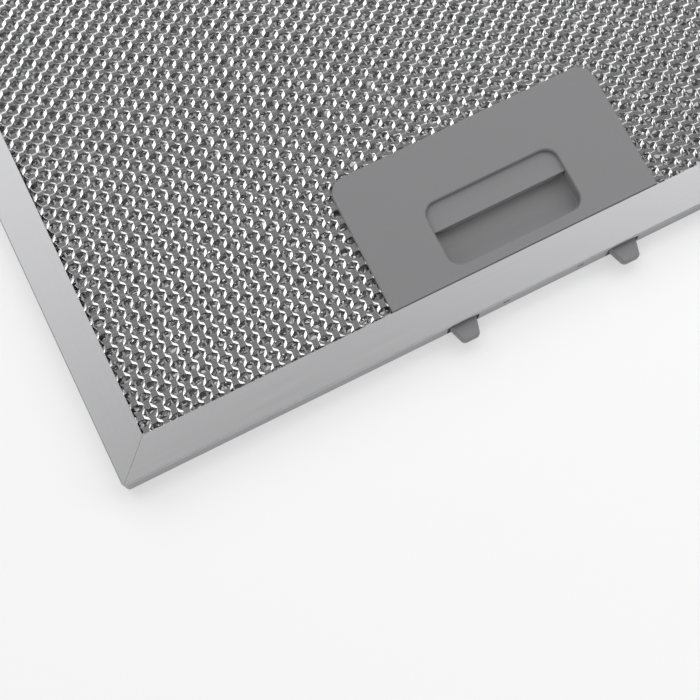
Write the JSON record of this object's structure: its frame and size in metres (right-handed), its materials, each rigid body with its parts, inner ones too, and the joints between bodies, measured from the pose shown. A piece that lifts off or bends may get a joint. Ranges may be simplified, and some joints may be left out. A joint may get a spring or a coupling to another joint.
{
  "type": "cooker hood grease filter",
  "caption": "Flat rectangular aluminium mesh grease filter in a folded channel frame, with a sprung finger latch and tongues on one edge.",
  "frame": {"origin": "on the rear plane, under the middle of the footprint with the latch tongues included", "axes": "+X along the latch edge, +Y from the latch edge to the far edge, +Z from the rear face to the front face seen in the kitchen"},
  "size_m": [0.32, 0.2666, 0.009],
  "materials": {
    "frame_aluminium": "satin mill finish",
    "mesh_aluminium": "bright expanded foil",
    "latch_plastic": "fine matt moulded grey",
    "spring_steel": "drawn wire"
  },
  "bodies": {
    "filter": {"frame": "frame_aluminium", "front_mesh": "mesh_aluminium", "inner_mesh_1": "mesh_aluminium", "inner_mesh_2": "mesh_aluminium", "inner_mesh_3": "mesh_aluminium", "rear_mesh": "mesh_aluminium", "latch_front_plate": "latch_plastic", "latch_rear_plate": "latch_plastic", "return_spring_left": "spring_steel", "return_spring_right": "spring_steel"},
    "latch": {"latch_slide": "latch_plastic"}
  },
  "joints": [
    {"name": "latch_pull", "type": "slide", "parent": "filter", "child": "latch", "axis": [0, 1, 0], "range_m": [0, 0.007], "stiffness_N_per_m": 300, "springref_m": -0.006, "deforming": ["return_spring_left", "return_spring_right"]}
  ]
}
